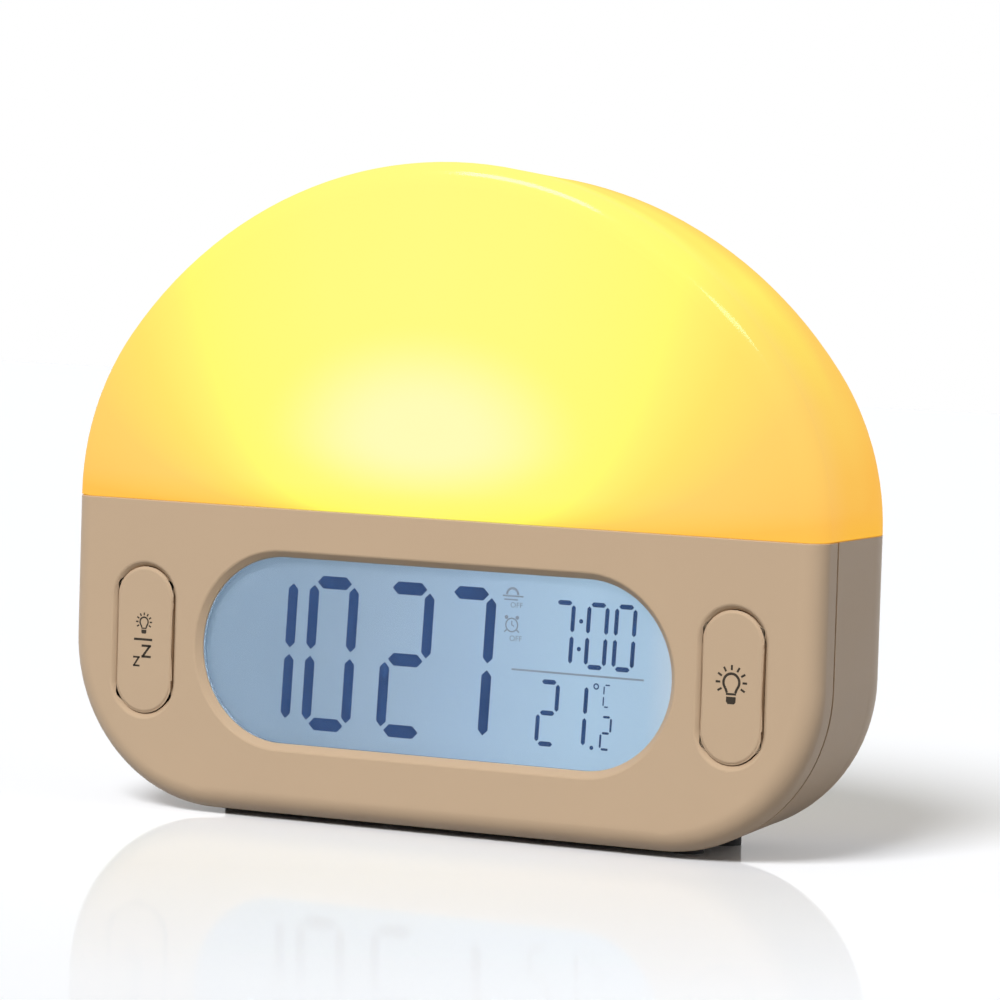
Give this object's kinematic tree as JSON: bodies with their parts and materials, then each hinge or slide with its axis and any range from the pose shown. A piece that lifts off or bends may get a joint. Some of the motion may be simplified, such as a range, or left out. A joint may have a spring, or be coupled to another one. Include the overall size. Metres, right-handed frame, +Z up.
{
  "type": "talking alarm clock",
  "caption": "Bedside talking alarm clock: glowing half-round dome over a tan base with a pill-shaped backlit display, front buttons, rear keys, speaker and battery bay.",
  "frame": {"origin": "middle of the footprint, at the underside of the feet", "axes": "+Z up, +X along the width to the right as seen from the front, -Y towards the front face"},
  "size_m": [0.18, 0.048, 0.1417],
  "materials": {
    "tan_case": "warm tan moulded ABS with a fine matt spark texture",
    "glow_dome": "translucent diffusing plastic, smooth, lit from inside in warm yellow",
    "clear_window": "clear polished acrylic window",
    "lcd_glass": "backlit liquid crystal glass, pale blue",
    "light_parts": "clear and white light parts",
    "white_plastic": "white moulded ABS",
    "rubber": "black rubber and foam",
    "circuit_board": "green solder mask on glass-epoxy board",
    "dark_parts": "black moulded parts",
    "lead_insulation": "flexible coloured insulation",
    "copper_wire": "enamelled copper winding",
    "steel_parts": "bright plated steel"
  },
  "bodies": {
    "case": {"front_housing": "tan_case", "rear_housing": "tan_case", "diffuser_dome": "glow_dome", "reflector_deck": "white_plastic", "led_board": "white_plastic", "led_chips": "light_parts", "led_screws": "steel_parts", "window_lens": "clear_window", "lcd_panel": "lcd_glass", "light_guide": "light_parts", "backlight_leds": "light_parts", "lcd_holder": "white_plastic", "zebra_strips": "rubber", "main_board": "circuit_board", "board_chips": "dark_parts", "capacitors": "dark_parts", "clock_crystal": "steel_parts", "board_sockets": "white_plastic", "front_switches": "dark_parts", "key_board": "circuit_board", "key_switches": "dark_parts", "usb_shell": "steel_parts", "usb_tongue": "dark_parts", "battery_contacts": "steel_parts", "battery_springs": "steel_parts", "speaker_frame": "dark_parts", "speaker_magnet": "steel_parts", "speaker_surround": "rubber", "speaker_gasket": "rubber", "temp_sensor": "dark_parts", "case_screws": "steel_parts", "board_screws": "steel_parts", "holder_screws": "steel_parts", "key_screws": "steel_parts", "feet": "rubber", "speaker_lead": "lead_insulation", "led_lead": "lead_insulation", "battery_lead": "lead_insulation", "key_ribbon": "white_plastic"},
    "snooze_press": {"snooze_button": "tan_case", "snooze_plunger": "white_plastic"},
    "light_press": {"light_button": "tan_case", "light_plunger": "white_plastic"},
    "door": {"battery_door": "tan_case"},
    "cone": {"speaker_cone": "dark_parts", "speaker_coil": "copper_wire"},
    "talk_press": {"talk_key": "tan_case", "talk_plunger": "white_plastic"},
    "alarm_press": {"alarm_key": "tan_case", "alarm_plunger": "white_plastic"},
    "set_press": {"set_key": "tan_case", "set_plunger": "white_plastic"},
    "volume_press": {"volume_key": "tan_case", "volume_plunger": "white_plastic"},
    "up_press": {"up_key": "tan_case", "up_plunger": "white_plastic"},
    "down_press": {"down_key": "tan_case", "down_plunger": "white_plastic"}
  },
  "joints": [
    {"name": "snooze_travel", "type": "slide", "parent": "case", "child": "snooze_press", "axis": [0, 1, 0], "range_m": [0, 0.0006], "stiffness_N_per_m": 1500},
    {"name": "light_travel", "type": "slide", "parent": "case", "child": "light_press", "axis": [0, 1, 0], "range_m": [0, 0.0006], "stiffness_N_per_m": 1500},
    {"name": "talk_travel", "type": "slide", "parent": "case", "child": "talk_press", "axis": [0, -1, 0], "range_m": [0, 0.0005], "stiffness_N_per_m": 1500},
    {"name": "alarm_travel", "type": "slide", "parent": "case", "child": "alarm_press", "axis": [0, -1, 0], "range_m": [0, 0.0005], "stiffness_N_per_m": 1500},
    {"name": "set_travel", "type": "slide", "parent": "case", "child": "set_press", "axis": [0, -1, 0], "range_m": [0, 0.0005], "stiffness_N_per_m": 1500},
    {"name": "volume_travel", "type": "slide", "parent": "case", "child": "volume_press", "axis": [0, -1, 0], "range_m": [0, 0.0005], "stiffness_N_per_m": 1500},
    {"name": "up_travel", "type": "slide", "parent": "case", "child": "up_press", "axis": [0, -1, 0], "range_m": [0, 0.0005], "stiffness_N_per_m": 1500},
    {"name": "down_travel", "type": "slide", "parent": "case", "child": "down_press", "axis": [0, -1, 0], "range_m": [0, 0.0005], "stiffness_N_per_m": 1500},
    {"name": "door_hinge", "type": "hinge", "parent": "case", "child": "door", "pos_m": [-0.039, 0.0231, 0.0239], "axis": [-1, 0, 0], "range_deg": [0, 70]},
    {"name": "cone_travel", "type": "slide", "parent": "case", "child": "cone", "axis": [0, 1, 0], "range_m": [-0.0004, 0.0004], "stiffness_N_per_m": 1000, "deforming": ["speaker_surround"]}
  ]
}
